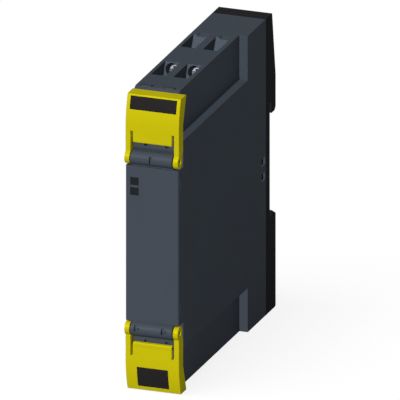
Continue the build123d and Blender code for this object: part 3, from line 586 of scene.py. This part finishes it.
springLow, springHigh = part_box("slider_spring")
meander = makeSliderSpring("slider_spring_meander", springLow, springHigh)
paint(meander, "steelZincPlated")
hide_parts("slider_spring")
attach(meander, "housing")
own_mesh(meander)
print("slider spring made")

barrelReach = 1.3  # the hinge barrels stand this far before the front face
faceY = cadBox[0].y / mm + barrelReach
topZ = cadBox[1].z / mm
hinges = {j["child"]: j["pos_m"] for j in frame["joints"] if j["name"].endswith("_flap_hinge")}

trunnion = {
    "radius": 0.8,
    "innerEnd": 7.6,  # distances from the middle plane
    "outerEnd": 8.52,
    "chamfer": 0.12,
    "around": 48,
}
flapLip = {
    "halfWidth": 6.35,
    "height": 0.62,
    "depth": 1.3,
    "proud": 0.005,  # stands this hair before the front face
    "belowHinge": 4.95,  # from the hinge line to the flap's upper edge
    "round": 0.35,
    "sink": 0.55,  # how far it laps over the flap's rounded edge
    "arcSteps": 7,
}


def makeTrunnionTip(name, centre, side):
    # end of the pin that a flap turns on: a revolved profile along X, radius * (cos, sin) about the hinge
    # line
    t = trunnion
    along = np.array([t["innerEnd"], t["outerEnd"] - t["chamfer"], t["outerEnd"]])
    radius = np.array([t["radius"], t["radius"], t["radius"] - t["chamfer"]])
    angle = np.linspace(0, 2 * np.pi, t["around"], endpoint=False) * side
    points = np.stack([
        np.repeat(side * along[:, None], len(angle), 1),
        radius[:, None] * np.cos(angle),
        radius[:, None] * np.sin(angle),
    ], -1)
    return gridMesh(name, np.array(centre) + mm * points, smooth=False)


def makeFlapLip(name):
    # bead along the lower flap's upper edge: its section is a box whose upper front edge is a quarter
    # circle
    f = flapLip
    arc = np.linspace(0, np.pi / 2, f["arcSteps"])
    front = faceY - f["proud"]
    edge = hinges["lower_flap"][2] / mm - f["belowHinge"]
    low = edge - f["sink"]
    high = edge + f["height"]
    back = front + f["depth"]
    ys = np.concatenate([[back, front], front + f["round"] * (1 - np.cos(arc)), [back]])
    zs = np.concatenate([[low], [low], high - f["round"] * (1 - np.sin(arc)), [high]])
    xs = np.array([-f["halfWidth"], f["halfWidth"]])
    points = np.stack([np.repeat(xs[:, None], len(ys), 1), np.tile(ys, (2, 1)), np.tile(zs, (2, 1))], -1)
    return gridMesh(name, mm * points[:, ::-1], smooth=False)


catch = {
    "width": 4.0,
    "poles": {"left": -5.18, "right": 2.12},  # X of the pockets' middles
    "beadAt": 10.3,  # behind the front face
    "beadRadius": 0.32,
    "beadFall": 0.38,
    "rightGap": 0.9,  # between the bead's end and the pocket's
    "hookFrom": 10.85,
    "hookTo": 11.72,
    "hookFall": 1.3,
    "hookUnder": 0.01,  # so that its top doesn't meet the block's face
    "arcSteps": 9,
}


def makeBar(name, section, xs, up):
    # a bar along X between two places, from its section's (Y, Z) points, mirrored in Z for the lower block
    ys, zs = np.asarray(section).T
    acrossX = np.repeat(np.array(xs)[:, None], len(ys), 1)
    points = np.stack([acrossX, np.tile(ys, (2, 1)), np.tile(up * zs, (2, 1))], -1)
    return gridMesh(name, mm * (points if up > 0 else points[:, ::-1]), smooth=False)


def makeCatch(name, poleX, up):
    # what a flap's catch snaps over: a round bead along the pocket, and a hook that overhangs the
    # pocket's back
    c = catch
    left, right = poleX - c["width"] / 2, poleX + c["width"] / 2
    arc = np.linspace(np.pi, 0, c["arcSteps"])
    y, z = faceY + c["beadAt"], topZ - c["beadFall"]
    bead = np.stack([y - c["beadRadius"] * np.cos(arc), z + c["beadRadius"] * np.sin(arc)], -1)
    hook = [
        (faceY + c["hookTo"], topZ - c["hookUnder"]),
        (faceY + c["hookFrom"], topZ - c["hookUnder"]),
        (faceY + c["hookTo"], topZ - c["hookFall"]),
    ]
    return (
        makeBar(name + "_bead", bead, (left, right - c["rightGap"]), up),
        makeBar(name + "_hook", hook, (left, right), up),
    )


for level, up in (("upper", 1), ("lower", -1)):
    for pole, poleX in catch["poles"].items():
        for piece in makeCatch(f"{level}_{pole}_catch", poleX, up):
            paint(piece, "polyamideGrey")
            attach(piece, "housing")
print("catches made")

for flap, centre in hinges.items():
    for side, sideName in ((-1, "left"), (1, "right")):
        tip = makeTrunnionTip(flap + "_" + sideName + "_trunnion", centre, side)
        paint(tip, "polyamideGrey")
        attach(tip, "housing")
lip = makeFlapLip("lower_flap_lip")
paint(lip, "polyamideYellow")
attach(lip, "lower_flap")
print("trunnion tips and flap lip made")

# floor and light
stage = {
    "floorColour": "8C8C8A",
    "floorFibre": "929291",
    "fibreScale": 400.0,
    "floorHalf": 3.0,  # metres
    "floorGlow": 0.86,  # share of plain white in what the camera and mirrors see; the rest keeps the shadow
    "ambient": 0.08,
    "softness": 8.0,  # degrees
}
suns = {
    # strength and the way to each sun: the key, and weak fills from the right, from above and from behind
    "key": (3.45, (-0.35, -0.77, 0.53)),
    "rightFill": (0.42, (1.0, 0.0, 0.0)),
    "topFill": (0.25, (0.0, 0.0, 1.0)),
    "backFill": (1.3, (-0.2, 1.0, 0.0)),
}
# a wide overhead light for the floor alone, which the part shades
overhead = {"strength": 3.2, "way": (-0.2, -0.35, 1.0), "width": 40.0}


def seenRay(tree):
    # 1 for a ray from the camera, off a mirror or through glass, otherwise 0
    path = addNode(tree, "ShaderNodeLightPath")
    first = addNode(
        tree, "ShaderNodeMath",
        {0: path.outputs["Is Camera Ray"], 1: path.outputs["Is Glossy Ray"]},
        operation="MAXIMUM",
    )
    both = addNode(
        tree, "ShaderNodeMath",
        {0: first.outputs["Value"], 1: path.outputs["Is Transmission Ray"]},
        operation="MAXIMUM",
    )
    return both.outputs["Value"]


def makeFloor():
    # a wide square under the part's lowest point
    level = cadBox[0].z
    side = np.array([-stage["floorHalf"], stage["floorHalf"]])
    gx, gy = np.meshgrid(side, side)
    mesh = bpy.data.meshes.new("floor")
    corners = np.stack([gx.ravel(), gy.ravel(), np.full(4, level)], -1)
    mesh.from_pydata(corners.tolist(), [], [(0, 1, 3, 2)])
    floor = bpy.data.objects.new("floor", mesh)
    bpy.context.scene.collection.objects.link(floor)
    material, tree, place = startMaterial("paperPale")
    fibre = addNode(tree, "ShaderNodeTexNoise", {"Vector": place, "Scale": stage["fibreScale"]})
    tone = addNode(
        tree, "ShaderNodeMixRGB",
        {
            "Fac": fibre.outputs["Fac"], "Color1": linear(stage["floorColour"]),
            "Color2": linear(stage["floorFibre"]),
        },
    )
    seen = seenRay(tree)
    paper = addNode(
        tree, "ShaderNodeMixRGB",
        {"Fac": seen, "Color1": tone.outputs["Color"], "Color2": linear("FFFFFF")},
    )
    shade = addNode(tree, "ShaderNodeBsdfDiffuse", {"Color": paper.outputs["Color"]})
    glow = addNode(tree, "ShaderNodeEmission", {"Color": (1, 1, 1, 1), "Strength": 1.0})
    share = addNode(tree, "ShaderNodeMath", {0: seen, 1: stage["floorGlow"]}, operation="MULTIPLY")
    mix = addNode(
        tree, "ShaderNodeMixShader",
        {"Fac": share.outputs["Value"], 1: shade.outputs["BSDF"], 2: glow.outputs["Emission"]},
    )
    endMaterial(tree, mix.outputs["Shader"])
    mesh.materials.append(material)
    return floor


def linkTo(light, floor, state):
    # a light reaches the floor alone, or all but the floor
    reached = bpy.data.collections.new(light.name + "Reaches")
    reached.objects.link(floor)
    reached.collection_objects[0].light_linking.link_state = state
    light.light_linking.receiver_collection = reached


def makeSun(name, strength, way, width):
    data = bpy.data.lights.new(name, "SUN")
    data.energy = strength
    data.angle = math.radians(width)
    sun = bpy.data.objects.new(name, data)
    bpy.context.scene.collection.objects.link(sun)
    sun.rotation_mode = "QUATERNION"
    sun.rotation_quaternion = Vector(way).to_track_quat("Z", "Y")
    return sun


def makeLight(floor):
    world = bpy.data.worlds.new("studio")
    world.use_nodes = True
    tree = world.node_tree
    tree.nodes.clear()
    strength = addNode(tree, "ShaderNodeMath", {0: seenRay(tree), 1: stage["ambient"]}, operation="MAXIMUM")
    sky = addNode(
        tree, "ShaderNodeBackground", {"Color": (1, 1, 1, 1), "Strength": strength.outputs["Value"]},
    )
    addNode(tree, "ShaderNodeOutputWorld", {"Surface": sky.outputs["Background"]})
    bpy.context.scene.world = world
    for name, (strength, way) in suns.items():
        sun = makeSun(name, strength, way, stage["softness"])
        sun.data.use_shadow = False  # the photograph's light throws no shadows into the recesses
        linkTo(sun, floor, "EXCLUDE")
    above = makeSun("overhead", overhead["strength"], overhead["way"], overhead["width"])
    linkTo(above, floor, "INCLUDE")


makeLight(makeFloor())
bpy.context.scene.view_settings.view_transform = "Standard"
print("stage lit")
